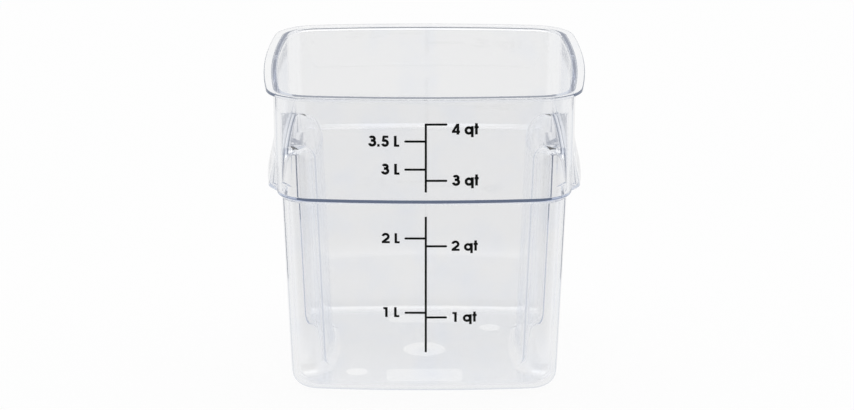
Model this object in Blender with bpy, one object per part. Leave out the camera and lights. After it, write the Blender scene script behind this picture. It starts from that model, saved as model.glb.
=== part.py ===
"""A clear square food storage tub with moulded hand grips and a printed volume scale.

The tub is one thin-walled moulding. Its outer form and its cavity are lofts between bowed
squares, and the finger recess under each grip is a lofted cutter. Metres, +Z up, and the
origin is the centre of the base.
"""
from math import atan2, cos, hypot, pi, radians, sin, sqrt

import bmesh
import bpy
import numpy as np
from mathutils import Matrix, Vector

# Whole tub
TUB_HEIGHT = 0.1825
WALL = 0.0024
FLOOR_THICKNESS = 0.0025

# Rim flange
RIM_WIDTH = 0.1905
RIM_BOW = 0.0072
RIM_CORNER = 0.028
FLANGE_REACH = 0.0053
FLANGE_THICKNESS = 0.0019
EDGE_ROUNDING = 0.0006

# Collar between the flange and the ledge
COLLAR_DRAFT = 0.0007
COLLAR_BOW = 0.0064
COLLAR_CORNER = 0.0216

# Lower body under the ledge
LEDGE_HEIGHT = 0.1184
LEDGE_STEP = 0.0037
LEDGE_ROUNDING = 0.0009
LEDGE_CREASE = 0.0005
LOWER_DRAFT = 0.0044
LOWER_BOW = 0.005
LOWER_CORNER = 0.0165
BASE_RADIUS = 0.0088

# Hand grips, one on each X side
GRIP_REACH = 0.005
GRIP_RISE = 0.0232
GRIP_HALF_LENGTH = 0.0643
GRIP_BLEND = 0.0126
flare_growth_share = 1.25

# Finger recess under each grip, measured on the cavity side of its wall
RECESS_DEPTH = 0.0228
RECESS_HALF_WIDTH = 0.0479
RECESS_DRAFT = 0.0044
RECESS_CORNER = 0.0153
RECESS_CREST_RADIUS = 0.193
RECESS_RISE = 0.0212
RECESS_TOP_RADIUS = 0.008
RECESS_MOUTH_CORNER = 0.006

# Printed scale on the front wall
PRINT_THICKNESS = 0.0002
PRINT_GAP = 0.0003
LINE_WIDTH = 0.001
MARK_WIDTH = 0.0012
MARK_REACH = 0.0119
LINE_OFFSET = 0.00085
RIM_TO_UPPER_LINE = 0.0122
LEDGE_TO_UPPER_LINE = 0.0099
LEDGE_TO_LOWER_LINE = 0.0063
BASE_TO_LOWER_LINE = 0.0277

# Where the marks stand along their lines: quarts on the right, litres on the left
upper_quart_shares = (0.121, 0.917)
upper_litre_shares = (0.279, 0.681)
lower_quart_shares = (0.249, 0.764)
lower_litre_shares = (0.283, 0.821)

# How far a cutter runs past what it cuts
CUTTER_OVERRUN = 0.01

# Counts
GRIP_SIDE_STEPS = 24
PLAIN_SIDE_STEPS = 10
CORNER_STEPS = 6
ROUNDING_STEPS = 4
GRIP_ROWS = 6
CREST_STEPS = 10
RECESS_CORNER_STEPS = 6
MOUTH_CORNER_STEPS = 3
MARK_END_STEPS = 6

# Sizes that follow from the ones above
COLLAR_TOP_HALF = RIM_WIDTH / 2 - FLANGE_REACH
COLLAR_FOOT_HALF = COLLAR_TOP_HALF - COLLAR_DRAFT
LOWER_TOP_HALF = COLLAR_FOOT_HALF - LEDGE_STEP
LOWER_FOOT_HALF = LOWER_TOP_HALF - LOWER_DRAFT
FLANGE_UNDERSIDE = TUB_HEIGHT - FLANGE_THICKNESS
GRIP_TOP = LEDGE_HEIGHT + GRIP_RISE
RECESS_TOP = LEDGE_HEIGHT + RECESS_RISE
INNER_LEDGE = LEDGE_HEIGHT + WALL
INNER_BASE_RADIUS = BASE_RADIUS - WALL

TUB_COLOUR = (0.86, 0.89, 0.93, 0.35)
INK_COLOUR = (0.02, 0.035, 0.03, 1.0)


def clear_scene():
    """Remove every object, so that the part starts from an empty scene."""
    for old in list(bpy.data.objects):
        bpy.data.objects.remove(old, do_unlink=True)


def new_collection(name):
    """Make a collection in the scene."""
    collection = bpy.data.collections.new(name)
    bpy.context.scene.collection.children.link(collection)
    return collection


def new_material(name, colour, roughness):
    """Make a plain Principled material."""
    material = bpy.data.materials.new(name)
    material.use_nodes = True
    shader = material.node_tree.nodes["Principled BSDF"]
    shader.inputs["Base Color"].default_value = colour
    shader.inputs["Roughness"].default_value = roughness
    shader.inputs["Metallic"].default_value = 0.0
    shader.inputs["Alpha"].default_value = colour[3]
    return material


def arc(centre_x, centre_y, radius, start, end, steps):
    """Points along an arc, both ends included, as (x, y) rows."""
    angles = np.linspace(start, end, steps + 1)
    return np.column_stack([centre_x + radius * np.cos(angles), centre_y + radius * np.sin(angles)])


def side_radius(half, bow):
    """Radius of a side that bows outwards by the given amount over the half width."""
    return (half ** 2 + bow ** 2) / (2 * bow)


def bowed_square(half, bow, corner):
    """Plan outline of the tub: four bowed sides joined by tangent corner arcs."""
    radius = side_radius(half, bow)
    back = radius - half
    corner_centre = (sqrt(2 * (radius - corner) ** 2 - back ** 2) - back) / 2
    turn = atan2(corner_centre, corner_centre + back)
    points = []
    for quarter in range(4):
        steps = PLAIN_SIDE_STEPS if quarter % 2 else GRIP_SIDE_STEPS
        side = arc(-back, 0, radius, -turn, turn, steps)
        bend = arc(corner_centre, corner_centre, corner, turn, pi / 2 - turn, CORNER_STEPS)[1:-1]
        spin = Matrix.Rotation(quarter * pi / 2, 2)
        points += [spin @ Vector(point) for point in np.vstack([side, bend])]
    return np.array(points)


def grip_share(y):
    """Share of the grip's reach at a place along its side: full in the middle, none past its ends."""
    run = np.clip((GRIP_HALF_LENGTH - np.abs(y)) / GRIP_BLEND, 0, 1)
    return run * run * (3 - 2 * run)


def grip_reach(z):
    """How far the grip stands out of the collar at a height."""
    fall = np.clip((GRIP_TOP - z) / GRIP_RISE, 0, 1)
    return GRIP_REACH * fall ** flare_growth_share


def collar_ring(half, corner, z):
    """Outline of the collar at a height, flared out where the grips are."""
    outline = bowed_square(half, COLLAR_BOW, corner)
    outline[:, 0] += np.sign(outline[:, 0]) * grip_reach(z) * grip_share(outline[:, 1])
    return at_height(outline, z)


def at_height(outline, z):
    """Lift a plan outline to a height."""
    return np.column_stack([outline, np.full(len(outline), z)])


def rounding(radius):
    """Steps of a quarter round as (inset, rise), from the floor it stands on to its wall."""
    angles = np.linspace(0, pi / 2, ROUNDING_STEPS + 1)
    return [(radius * (1 - sin(angle)), radius * (1 - cos(angle))) for angle in angles]


def loft(name, rings, collection):
    """Skin a closed body through rings of equal counts, from the bottom one to the top one."""
    body = bmesh.new()
    rows = [[body.verts.new(point) for point in ring] for ring in rings]
    count = len(rows[0])
    for low, high in zip(rows, rows[1:]):
        for i in range(count):
            j = (i + 1) % count
            body.faces.new((low[i], low[j], high[j], high[i]))
    body.faces.new(rows[0][::-1])
    body.faces.new(rows[-1])
    bmesh.ops.triangulate(body, faces=body.faces[:])
    mesh = bpy.data.meshes.new(name)
    body.to_mesh(mesh)
    body.free()
    thing = bpy.data.objects.new(name, mesh)
    collection.objects.link(thing)
    return thing


def lower_rings(thickness, floor, base_radius, top, bend):
    """Rings of the lower body, set in by a wall thickness, from its floor to its bend to the ledge."""
    rings = []
    for inset, rise in rounding(base_radius):
        half = LOWER_FOOT_HALF - thickness - inset
        outline = bowed_square(half, LOWER_BOW, LOWER_CORNER - thickness - inset)
        rings.append(at_height(outline, floor + rise))
    for drop, spread in rounding(bend):
        half = LOWER_TOP_HALF - thickness + spread
        outline = bowed_square(half, LOWER_BOW, LOWER_CORNER - thickness + spread)
        rings.append(at_height(outline, top - drop))
    return rings


def collar_rings(thickness, ledge, bend, top):
    """Rings of the collar, set in by a wall thickness, from its bend on the ledge to its top."""
    foot = [(inset, ledge + rise) for inset, rise in rounding(bend)]
    wall = [(0, z) for z in np.linspace(ledge + bend, GRIP_TOP, GRIP_ROWS + 1)[1:]]
    rings = []
    for inset, z in foot + wall + [(0, top)]:
        climb = (z - LEDGE_HEIGHT) / (FLANGE_UNDERSIDE - LEDGE_HEIGHT)
        half = COLLAR_FOOT_HALF + COLLAR_DRAFT * climb - thickness - inset
        rings.append(collar_ring(half, COLLAR_CORNER - thickness - inset, z))
    return rings


def flange_rings():
    """Rings of the rim flange, from its underside over its rounded edge to its top."""
    edge = RIM_WIDTH / 2
    steps = [
        (edge - EDGE_ROUNDING, FLANGE_UNDERSIDE),
        (edge, FLANGE_UNDERSIDE + EDGE_ROUNDING),
        (edge, TUB_HEIGHT - EDGE_ROUNDING),
        (edge - EDGE_ROUNDING, TUB_HEIGHT),
    ]
    return [at_height(bowed_square(half, RIM_BOW, RIM_CORNER - edge + half), z) for half, z in steps]


def recess_outline(crest, half_width, corner, crest_radius, mouth, mouth_corner):
    """Plan of a finger recess on the +X side, from its bowed crest to its mouth."""
    corner_y = half_width - corner
    bow_centre = crest + crest_radius
    corner_x = bow_centre - sqrt((crest_radius - corner) ** 2 - corner_y ** 2)
    lean = atan2(corner_y, bow_centre - corner_x)
    mouth_radius = side_radius(COLLAR_FOOT_HALF, COLLAR_BOW)
    mouth_y = half_width - mouth_corner
    mouth_centre = mouth - mouth_radius
    mouth_x = mouth_centre + sqrt((mouth_radius - mouth_corner) ** 2 - mouth_y ** 2)
    mouth_lean = atan2(mouth_y, mouth_x - mouth_centre)
    return np.vstack([
        arc(bow_centre, 0, crest_radius, pi - lean, pi + lean, CREST_STEPS),
        arc(corner_x, -corner_y, corner, pi + lean, 3 * pi / 2, RECESS_CORNER_STEPS)[1:],
        arc(mouth_x, -mouth_y, mouth_corner, -pi / 2, -mouth_lean, MOUTH_CORNER_STEPS),
        arc(mouth_centre, 0, mouth_radius, -mouth_lean, mouth_lean, CREST_STEPS)[1:-1],
        arc(mouth_x, mouth_y, mouth_corner, mouth_lean, pi / 2, MOUTH_CORNER_STEPS),
        arc(corner_x, corner_y, corner, pi / 2, pi - lean, RECESS_CORNER_STEPS)[:-1],
    ])


def recess_ring(thickness, growth, mouth, z):
    """Ring of a recess at a height: thickness sets it out from the cavity side, growth widens it."""
    slope = RECESS_DRAFT / (LEDGE_HEIGHT - BASE_RADIUS)
    crest = LOWER_TOP_HALF - WALL - RECESS_DEPTH - (LEDGE_HEIGHT - z) * slope
    offset = growth - thickness
    outline = recess_outline(
        crest - offset,
        RECESS_HALF_WIDTH + offset,
        RECESS_CORNER + offset,
        RECESS_CREST_RADIUS + offset,
        mouth,
        RECESS_MOUTH_CORNER,
    )
    return at_height(outline, z)


def recess_rings(thickness, floor, mouth_at):
    """Rings of a recess from below the floor, up its flared foot and wall, to its rounded top."""
    foot = INNER_BASE_RADIUS + thickness
    top_radius = RECESS_TOP_RADIUS - thickness
    top = RECESS_TOP - thickness
    rings = [recess_ring(thickness, foot, mouth_at(floor), floor - CUTTER_OVERRUN)]
    for inset, rise in rounding(foot):
        rings.append(recess_ring(thickness, inset, mouth_at(floor), floor + rise))
    rings.append(recess_ring(thickness, 0, mouth_at(LEDGE_HEIGHT), LEDGE_HEIGHT))
    for inset, rise in reversed(rounding(top_radius)):
        z = top - rise
        rings.append(recess_ring(thickness, -inset, mouth_at(z) - inset, z))
    return rings


def grip_mouth(z):
    """Where the grip's inner face lies on its middle line at a height."""
    climb = (max(z, LEDGE_HEIGHT) - LEDGE_HEIGHT) / (FLANGE_UNDERSIDE - LEDGE_HEIGHT)
    return COLLAR_FOOT_HALF + COLLAR_DRAFT * climb + grip_reach(max(z, LEDGE_HEIGHT)) - WALL


def outside_wall(z):
    """A recess block in the cavity runs out to the rim, where nothing is cut by it."""
    return RIM_WIDTH / 2


def on_other_side(rings):
    """The same rings turned half round, for the grip on the -X side."""
    return [ring * np.array([-1, -1, 1]) for ring in rings]


def subtract(body, cutter):
    """Cut one object out of another."""
    cut = body.modifiers.new("cut_" + cutter.name, "BOOLEAN")
    cut.operation = "DIFFERENCE"
    cut.solver = "EXACT"
    cut.object = cutter


def as_cutter(thing):
    """Show a cutter as a wire only."""
    thing.display_type = "WIRE"
    thing.hide_render = True


def make_tub(parts, cutters):
    """The moulding: its outer form less the cavity and the two finger recesses."""
    outer = lower_rings(0, 0, BASE_RADIUS, LEDGE_HEIGHT, LEDGE_CREASE)
    outer += collar_rings(0, LEDGE_HEIGHT, LEDGE_ROUNDING, FLANGE_UNDERSIDE)
    outer += flange_rings()
    tub = loft("tub_body", outer, parts)

    inner = lower_rings(WALL, FLOOR_THICKNESS, INNER_BASE_RADIUS, INNER_LEDGE, LEDGE_ROUNDING)
    inner += collar_rings(WALL, INNER_LEDGE, LEDGE_CREASE, TUB_HEIGHT + CUTTER_OVERRUN)
    cavity = loft("cavity", inner, cutters)
    as_cutter(cavity)

    block_rings = recess_rings(0, FLOOR_THICKNESS, outside_wall)
    finger_rings = recess_rings(WALL, 0, grip_mouth)
    for side, turned in (("right", list), ("left", on_other_side)):
        block = loft("recess_wall_" + side, turned(block_rings), cutters)
        as_cutter(block)
        subtract(cavity, block)
    subtract(tub, cavity)
    for side, turned in (("right", list), ("left", on_other_side)):
        recess = loft("finger_recess_" + side, turned(finger_rings), cutters)
        as_cutter(recess)
        subtract(tub, recess)

    tub.data.shade_smooth()
    tub.data.set_sharp_from_angle(angle=radians(30))
    return tub


def mark_outline(side, height):
    """Edge of one mark on the right (side 1) or left (side -1), root first, with a round tip."""
    half = MARK_WIDTH / 2
    tip_x = side * (LINE_WIDTH / 2 + MARK_REACH - half)
    if side > 0:
        tip = arc(tip_x, height, half, -pi / 2, pi / 2, MARK_END_STEPS)
    else:
        tip = arc(tip_x, height, half, pi / 2, 3 * pi / 2, MARK_END_STEPS)
    root = side * LINE_WIDTH / 2
    return [(root, tip[0][1])] + [tuple(point) for point in tip] + [(root, tip[-1][1])]


def scale_outline(bottom, top, right_shares, left_shares):
    """Closed outline of a scale line with its marks, in the plane of the print."""
    edge = LINE_WIDTH / 2
    points = [(-edge, bottom), (edge, bottom)]
    for share in sorted(right_shares):
        points += mark_outline(1, bottom + share * (top - bottom))
    points += [(edge, top), (-edge, top)]
    for share in sorted(left_shares, reverse=True):
        points += mark_outline(-1, bottom + share * (top - bottom))
    return points


def make_scale(name, outline, wall_foot, wall_top, parts):
    """A printed line with marks, flat on the front wall between two (height, half width) places."""
    curve = bpy.data.curves.new(name + "_outline", "CURVE")
    curve.dimensions = "2D"
    curve.fill_mode = "BOTH"
    curve.extrude = PRINT_THICKNESS / 2
    spline = curve.splines.new("POLY")
    spline.points.add(len(outline) - 1)
    for place, (x, y) in zip(spline.points, outline):
        place.co = (x, y, 0, 1)
    spline.use_cyclic_u = True
    thing = bpy.data.objects.new(name, curve)
    parts.objects.link(thing)

    rise = wall_top[0] - wall_foot[0]
    run = wall_top[1] - wall_foot[1]
    slant = hypot(rise, run)
    up = Vector((0, -run / slant, rise / slant))
    across = Vector((1, 0, 0))
    out = across.cross(up)
    foot = Vector((LINE_OFFSET, -wall_foot[1], wall_foot[0])) + out * (PRINT_GAP + PRINT_THICKNESS / 2)
    place = Matrix((across, up, out)).transposed().to_4x4()
    place.translation = foot - up * wall_foot[0] * slant / rise
    thing.matrix_world = place
    return thing


def as_mesh(thing):
    """Turn a filled curve object into a welded mesh object of the same name and place."""
    bpy.context.view_layer.update()
    name = thing.name
    evaluated = thing.evaluated_get(bpy.context.evaluated_depsgraph_get())
    mesh = bpy.data.meshes.new_from_object(evaluated)
    body = bmesh.new()
    body.from_mesh(mesh)
    bmesh.ops.remove_doubles(body, verts=body.verts[:], dist=PRINT_THICKNESS / 20)
    body.to_mesh(mesh)
    body.free()
    collection = thing.users_collection[0]
    matrix = thing.matrix_world.copy()
    bpy.data.objects.remove(thing, do_unlink=True)
    solid = bpy.data.objects.new(name, mesh)
    solid.matrix_world = matrix
    collection.objects.link(solid)
    return solid


def make_scales(parts):
    """The print on the collar and the print on the lower wall."""
    upper_bottom = LEDGE_HEIGHT + LEDGE_TO_UPPER_LINE
    upper_top = TUB_HEIGHT - RIM_TO_UPPER_LINE
    upper = make_scale(
        "scale_upper",
        scale_outline(upper_bottom, upper_top, upper_quart_shares, upper_litre_shares),
        (LEDGE_HEIGHT, COLLAR_FOOT_HALF),
        (FLANGE_UNDERSIDE, COLLAR_TOP_HALF),
        parts,
    )
    lower_top = LEDGE_HEIGHT - LEDGE_TO_LOWER_LINE
    lower = make_scale(
        "scale_lower",
        scale_outline(BASE_TO_LOWER_LINE, lower_top, lower_quart_shares, lower_litre_shares),
        (BASE_RADIUS, LOWER_FOOT_HALF),
        (LEDGE_HEIGHT, LOWER_TOP_HALF),
        parts,
    )
    return [as_mesh(upper), as_mesh(lower)]


def main():
    """Build the tub and its printed scale."""
    clear_scene()
    parts = new_collection("food_storage_tub")
    cutters = new_collection("tub_cutters")
    tub = make_tub(parts, cutters)
    tub.data.materials.append(new_material("clear_plastic", TUB_COLOUR, 0.05))
    for scale in make_scales(parts):
        scale.data.materials.append(new_material("ink_" + scale.name, INK_COLOUR, 0.5))
    bpy.context.view_layer.update()


main()
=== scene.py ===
# %% [markdown]
# This lesson dresses a clear, square food storage tub. The solid model is already made and
# is loaded as a fixed frame. It has three pieces: the moulded tub and two printed scale
# lines. Here they get the fine surface, the clear plastic, the ink and the studio.

from math import atan2, cos, pi, radians, sin, sqrt, tan

import bmesh
import bpy
import numpy as np
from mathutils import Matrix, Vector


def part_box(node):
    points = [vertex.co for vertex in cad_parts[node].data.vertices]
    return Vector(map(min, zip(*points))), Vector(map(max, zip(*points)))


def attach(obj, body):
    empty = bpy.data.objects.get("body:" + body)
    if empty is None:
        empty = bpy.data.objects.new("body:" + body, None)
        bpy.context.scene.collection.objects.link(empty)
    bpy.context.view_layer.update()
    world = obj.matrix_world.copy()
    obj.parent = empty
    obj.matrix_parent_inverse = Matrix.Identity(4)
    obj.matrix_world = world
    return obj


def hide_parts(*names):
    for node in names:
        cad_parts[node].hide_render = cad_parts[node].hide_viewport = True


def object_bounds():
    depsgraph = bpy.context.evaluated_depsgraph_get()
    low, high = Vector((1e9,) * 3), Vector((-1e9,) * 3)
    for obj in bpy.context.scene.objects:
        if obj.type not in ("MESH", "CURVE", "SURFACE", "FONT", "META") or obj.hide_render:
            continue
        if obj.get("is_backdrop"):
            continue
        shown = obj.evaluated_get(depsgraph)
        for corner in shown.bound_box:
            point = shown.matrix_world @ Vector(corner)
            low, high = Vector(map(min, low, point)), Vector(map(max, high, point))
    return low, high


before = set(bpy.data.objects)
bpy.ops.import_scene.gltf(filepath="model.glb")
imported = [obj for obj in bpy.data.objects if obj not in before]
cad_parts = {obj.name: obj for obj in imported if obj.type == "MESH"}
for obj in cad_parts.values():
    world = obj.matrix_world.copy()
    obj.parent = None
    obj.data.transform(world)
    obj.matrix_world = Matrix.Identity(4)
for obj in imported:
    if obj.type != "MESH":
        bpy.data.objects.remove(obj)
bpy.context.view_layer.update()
tub_low, tub_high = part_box("tub_body")

MM = 1000
print("nodes:", sorted(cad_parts))
print("tub, mm:", [round(MM * (high - low), 1) for low, high in zip(tub_low, tub_high)])

# %% [markdown]
# The camera comes first, so that every later step can be compared with the photograph.
# It stands in front of the tub and looks down a little. Its distance, height, pitch and
# focal length, in pixels, were worked out from the rim, the ledge and the base, which show
# how fast the tub shrinks with distance. A camera placed by eye would hide such errors as
# a wall that leans too much. The small shift places the tub in the picture.

# %% Camera
IMAGE_WIDTH = 854
IMAGE_HEIGHT = 410
CAMERA_DISTANCE = 2.006
CAMERA_HEIGHT = 0.6783
CAMERA_PITCH = 0.2859
FOCAL_PIXELS = 3460.4
AXIS_U = 424.33
AXIS_V = 211.16
SIGHT = 50.0

camera_data = bpy.data.cameras.new("camera")
camera_data.sensor_fit = "HORIZONTAL"
camera_data.lens = camera_data.sensor_width * FOCAL_PIXELS / IMAGE_WIDTH
camera_data.shift_x = (IMAGE_WIDTH / 2 - AXIS_U) / IMAGE_WIDTH
camera_data.shift_y = (AXIS_V - IMAGE_HEIGHT / 2) / IMAGE_WIDTH
camera_data.clip_end = SIGHT
camera = bpy.data.objects.new("camera", camera_data)
camera.location = (0, -CAMERA_DISTANCE, CAMERA_HEIGHT)
camera.rotation_euler = (pi / 2 - CAMERA_PITCH, 0, 0)
bpy.context.scene.collection.objects.link(camera)
bpy.context.scene.camera = camera
print("lens, mm:", round(camera_data.lens, 1))

# %% [markdown]
# The tub's sizes are the same as in the solid model, in metres. The overall width and
# height are read from the frame. The small fillets at the end of the list are finer than
# the solid model's: they catch the light on the edges.

# %% Sizes of the moulding
TUB_HEIGHT = tub_high[2]
RIM_HALF = tub_high[0]
WALL = 0.0024
FLOOR_THICKNESS = 0.0025
RIM_BOW = 0.0072
RIM_CORNER = 0.028
FLANGE_REACH = 0.0053
FLANGE_THICKNESS = 0.0019
COLLAR_DRAFT = 0.0007
COLLAR_BOW = 0.0064
COLLAR_CORNER = 0.0216
LEDGE_HEIGHT = 0.1171
LEDGE_STEP = 0.0037
LEDGE_SLOPE = radians(30)
LOWER_DRAFT = 0.0044
LOWER_BOW = 0.005
LOWER_CORNER = 0.0165
BASE_RADIUS = 0.0088
GRIP_REACH = 0.005
GRIP_RISE = 0.0245
GRIP_HALF_LENGTH = 0.0643
GRIP_BLEND = 0.0126
flare_growth_share = 1.25
RECESS_DEPTH = 0.0228
RECESS_HALF_WIDTH = 0.0479
RECESS_DRAFT = 0.0044
RECESS_CORNER = 0.0153
RECESS_CREST_RADIUS = 0.193
RECESS_RISE = 0.0225
RECESS_TOP_RADIUS = 0.008
RECESS_MOUTH_CORNER = 0.006
RECESS_FILLET = 0.0024
LEDGE_CREASE = 0.0005
LEDGE_FILLET = 0.0012
RIM_FILLET = 0.0006
FLANGE_FILLET = 0.001
SMALLEST_RADIUS = 0.0003
SUPPORT = 0.00015

COLLAR_TOP_HALF = RIM_HALF - FLANGE_REACH
COLLAR_FOOT_HALF = COLLAR_TOP_HALF - COLLAR_DRAFT
LOWER_TOP_HALF = COLLAR_FOOT_HALF - LEDGE_STEP
LOWER_FOOT_HALF = LOWER_TOP_HALF - LOWER_DRAFT
FLANGE_UNDERSIDE = TUB_HEIGHT - FLANGE_THICKNESS
GRIP_TOP = LEDGE_HEIGHT + GRIP_RISE
RECESS_TOP = LEDGE_HEIGHT + RECESS_RISE
LEDGE_TURN = pi / 2 - LEDGE_SLOPE
INNER_BASE_RADIUS = BASE_RADIUS - WALL
print("collar half widths, mm:", round(MM * COLLAR_TOP_HALF, 2), round(MM * COLLAR_FOOT_HALF, 2))

# %% [markdown]
# A box with bevels and a Solidify modifier would make a plain tub quickly, but no walls
# that bow and lean. So every surface here is a stack of plan outlines, one above the
# other, all with the same number of points. Each outline is made of arcs that touch
# without a kink, so the walls stay smooth enough to look through. The points crowd towards
# the ends of the long, flat arcs. The tub is the same on both sides of its middle planes,
# so only a quarter is modelled, from the middle of a grip to the middle of the front wall.

# %% Arcs and bowed sides
CREST_STEPS = 12
BEND_STEPS = 12
FLANK_STEPS = 2
TURN_STEPS = 12
GRIP_SIDE_STEPS = 18
CORNER_STEPS = 18
PLAIN_SIDE_STEPS = 14
ROUND_STEPS = 10
LEDGE_BEND_STEPS = 8
LAST_FLANK = CREST_STEPS + BEND_STEPS + FLANK_STEPS
LAST_TURN = LAST_FLANK + TURN_STEPS


def crowd_at_end(steps):
    """Shares from 0 to 1 that crowd towards 1."""
    return np.sin(np.linspace(0, pi / 2, steps + 1))


def crowd_at_both(steps):
    """Shares from 0 to 1 that crowd towards both ends."""
    return (1 - np.cos(np.linspace(0, pi, steps + 1))) / 2


def even(steps):
    """Evenly spaced shares from 0 to 1."""
    return np.linspace(0, 1, steps + 1)


def arc(centre, radius, start, end, shares):
    """Points along an arc at shares of its length."""
    angles = start + (end - start) * shares
    return np.column_stack([centre[0] + radius * np.cos(angles), centre[1] + radius * np.sin(angles)])


def bowed_frame(half, bow, corner):
    """Radius and set-back of a bowed side, the corner's centre, and the angle where the side ends."""
    radius = (half ** 2 + bow ** 2) / (2 * bow)
    back = radius - half
    centre = (sqrt(2 * (radius - corner) ** 2 - back ** 2) - back) / 2
    return radius, back, centre, atan2(centre, centre + back)


def corner_and_side(half, bow, corner):
    """The plan corner and the plain side, up to the middle of the front or back wall."""
    radius, back, centre, turn = bowed_frame(half, bow, corner)
    bend = arc((centre, centre), corner, turn, pi / 2 - turn, even(CORNER_STEPS))
    side = arc((0, -back), radius, pi / 2, pi / 2 - turn, crowd_at_end(PLAIN_SIDE_STEPS))
    return np.vstack([bend[1:], side[::-1][1:]])


def lifted(outline, z):
    """Lift a plan outline to a height."""
    return np.column_stack([outline, np.full(len(outline), z)])


def quarter_round(radius, steps=ROUND_STEPS):
    """Steps of a fillet between a floor and a wall, as (inset, rise)."""
    angles = np.linspace(0, pi / 2, steps + 1)
    return [(radius * (1 - sin(angle)), radius * (1 - cos(angle))) for angle in angles]


def ledge_bend(radius, steps=LEDGE_BEND_STEPS):
    """Steps of a bend between a wall and the slanted ledge, as (spread, rise) from the wall's end."""
    angles = np.linspace(0, LEDGE_TURN, steps + 1)
    return [(radius * (1 - cos(angle)), radius * sin(angle)) for angle in angles]


def ledge_top(crease, fillet):
    """Height where the collar's wall starts, over a crease, the slant and a fillet."""
    slant = LEDGE_STEP - (crease + fillet) * (1 - cos(LEDGE_TURN))
    return LEDGE_HEIGHT + (crease + fillet) * sin(LEDGE_TURN) + slant * tan(LEDGE_SLOPE)


print("points in a quarter outline:", LAST_TURN + GRIP_SIDE_STEPS + CORNER_STEPS + PLAIN_SIDE_STEPS + 1)

# %% [markdown]
# The grip side is the skilful part of this moulding. Its collar flares out into a hood for
# the fingers, full in the middle and blended away before the corners. Under the hood the
# wall is pushed into the tub: a bowed crest, a bend, a short flank and a turn back into
# the side wall. A Boolean could cut the recess, but its slivers would show in clear
# plastic. So the outline itself runs round the recess, in arcs that touch the next.

# %% Grip and finger recess in plan
TURN_DENSITY = 8


def grip_share(y):
    """Share of the grip's reach at a place along its side."""
    run = np.clip((GRIP_HALF_LENGTH - np.abs(y)) / GRIP_BLEND, 0, 1)
    return run * run * (3 - 2 * run)


def grip_reach(z):
    """How far the grip stands out of the collar at a height."""
    return GRIP_REACH * np.clip((GRIP_TOP - z) / GRIP_RISE, 0, 1) ** flare_growth_share


def recess_place(z):
    """Where the crest of the recess lies on its cavity side at a height."""
    slope = RECESS_DRAFT / (LEDGE_HEIGHT - BASE_RADIUS)
    return LOWER_TOP_HALF - WALL - RECESS_DEPTH - (LEDGE_HEIGHT - z) * slope


def recess_bend(crest, grow, tilt=0.0):
    """Crest and bend of the recess; grow sets them out, tilt ends the bend early."""
    bow_centre = crest + RECESS_CREST_RADIUS
    bend_y = RECESS_HALF_WIDTH - RECESS_CORNER
    bend_x = bow_centre - sqrt((RECESS_CREST_RADIUS - RECESS_CORNER) ** 2 - bend_y ** 2)
    lean = atan2(bend_y, bow_centre - bend_x)
    crest_radius = RECESS_CREST_RADIUS + grow
    crest_arc = arc((bow_centre, 0), crest_radius, pi, pi - lean, crowd_at_end(CREST_STEPS))
    bend_arc = arc((bend_x, bend_y), RECESS_CORNER + grow, pi - lean, pi / 2 + tilt, even(BEND_STEPS))
    return np.vstack([crest_arc, bend_arc[1:]]), bend_x


def along(points, steps):
    """Evenly spaced points along a dense line of points."""
    lengths = np.concatenate([[0], np.cumsum(np.hypot(*np.diff(points, axis=0).T))])
    wanted = np.linspace(0, lengths[-1], steps + 1)
    return np.column_stack([np.interp(wanted, lengths, points[:, axis]) for axis in (0, 1)])


def notched_outline(z, half, bow, corner, grow, fillet, flank_end, reach=0.0):
    """Quarter outline with the finger recess cut into the grip side."""
    radius, back, _, turn = bowed_frame(half, bow, corner)
    width = RECESS_HALF_WIDTH + grow
    fillet = max(fillet, SMALLEST_RADIUS)
    turn_y = width + fillet
    turn_x = reach - back + sqrt((radius - fillet) ** 2 - turn_y ** 2)
    turn_angle = atan2(turn_y, turn_x + back - reach)
    bend, bend_x = recess_bend(recess_place(z), grow)
    tilt = 0.0
    if turn_x < bend_x:
        tilt = 2 * atan2(bend_x - turn_x, RECESS_CORNER + grow + fillet)
        bend = recess_bend(recess_place(z), grow, tilt)[0]
    bent = arc((turn_x, turn_y), fillet, tilt - pi / 2, turn_angle, even(TURN_DENSITY * TURN_STEPS))
    if tilt == 0 and flank_end < turn_x:
        bent = np.vstack([[(flank_end, width)], bent])
    flank = bend[-1] + (bent[0] - bend[-1]) * even(FLANK_STEPS)[:, None]
    turned = along(bent, TURN_STEPS)
    wall_angles = turn_angle + (turn - turn_angle) * crowd_at_both(GRIP_SIDE_STEPS)
    wall = np.column_stack([radius * np.cos(wall_angles) - back, radius * np.sin(wall_angles)])
    wall[:, 0] += reach * grip_share(wall[:, 1])
    rest = corner_and_side(half, bow, corner)
    return np.vstack([bend, flank[1:], turned[1:], wall[1:], rest])


def plain_outline(half, bow, corner, side_shares):
    """Quarter outline with no recess, with its side's points at shares of the side."""
    radius, back, _, turn = bowed_frame(half, bow, corner)
    side = arc((-back, 0), radius, 0, turn, side_shares)
    return np.vstack([side, corner_and_side(half, bow, corner)])


def lower_half(z):
    """Half width of the lower body's outside at a height."""
    return LOWER_FOOT_HALF + LOWER_DRAFT * min((z - BASE_RADIUS) / (LEDGE_HEIGHT - BASE_RADIUS), 1)


def collar_half(z):
    """Half width of the collar's outside at a height."""
    return COLLAR_FOOT_HALF + COLLAR_DRAFT * (z - LEDGE_HEIGHT) / (FLANGE_UNDERSIDE - LEDGE_HEIGHT)


def flank_limit():
    """Where the straight flank of the recess ends, the same at every height over the ledge."""
    radius, back, _, _ = bowed_frame(LOWER_TOP_HALF - WALL, LOWER_BOW, LOWER_CORNER - WALL)
    return sqrt((radius - RECESS_FILLET) ** 2 - (RECESS_HALF_WIDTH + RECESS_FILLET) ** 2) - back


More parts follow.
